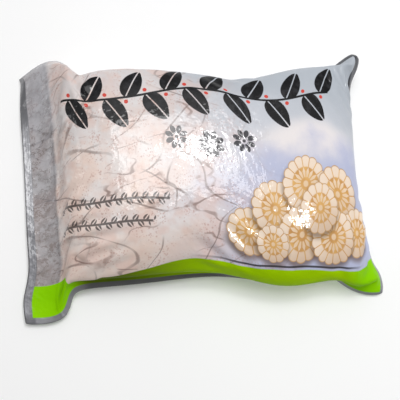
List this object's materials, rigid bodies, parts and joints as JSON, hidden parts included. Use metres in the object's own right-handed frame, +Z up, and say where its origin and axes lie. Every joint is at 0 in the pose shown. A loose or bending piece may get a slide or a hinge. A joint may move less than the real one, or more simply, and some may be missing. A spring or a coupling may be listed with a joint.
{
  "type": "filled food film pouch with frozen lotus root slices",
  "caption": "Flat four-side-sealed printed film pouch, filled and lying down, with loose frozen lotus root slices inside.",
  "frame": {"origin": "centre of the bounding box on the surface that the pouch lies on", "axes": "+X along the pouch, away from the wide seal; +Y towards the top of the print; +Z up, out of the printed front"},
  "size_m": [0.2762, 0.1978, 0.0486],
  "materials": {
    "film_front": "glossy printed laminate",
    "film_back": "glossy printed laminate",
    "lotus_root": "frosted, moist"
  },
  "bodies": {
    "root": {"film_back": "film_back", "film_front": "film_front", "lotus_slice_01": "lotus_root", "lotus_slice_02": "lotus_root", "lotus_slice_03": "lotus_root", "lotus_slice_04": "lotus_root", "lotus_slice_05": "lotus_root", "lotus_slice_06": "lotus_root", "lotus_slice_07": "lotus_root", "lotus_slice_08": "lotus_root", "lotus_slice_09": "lotus_root", "lotus_slice_10": "lotus_root", "lotus_slice_11": "lotus_root", "lotus_slice_12": "lotus_root", "lotus_slice_13": "lotus_root", "lotus_slice_14": "lotus_root", "lotus_slice_15": "lotus_root", "lotus_slice_16": "lotus_root", "lotus_slice_17": "lotus_root", "lotus_slice_18": "lotus_root", "lotus_slice_19": "lotus_root", "lotus_slice_20": "lotus_root", "lotus_slice_21": "lotus_root", "lotus_slice_22": "lotus_root"}
  },
  "joints": []
}
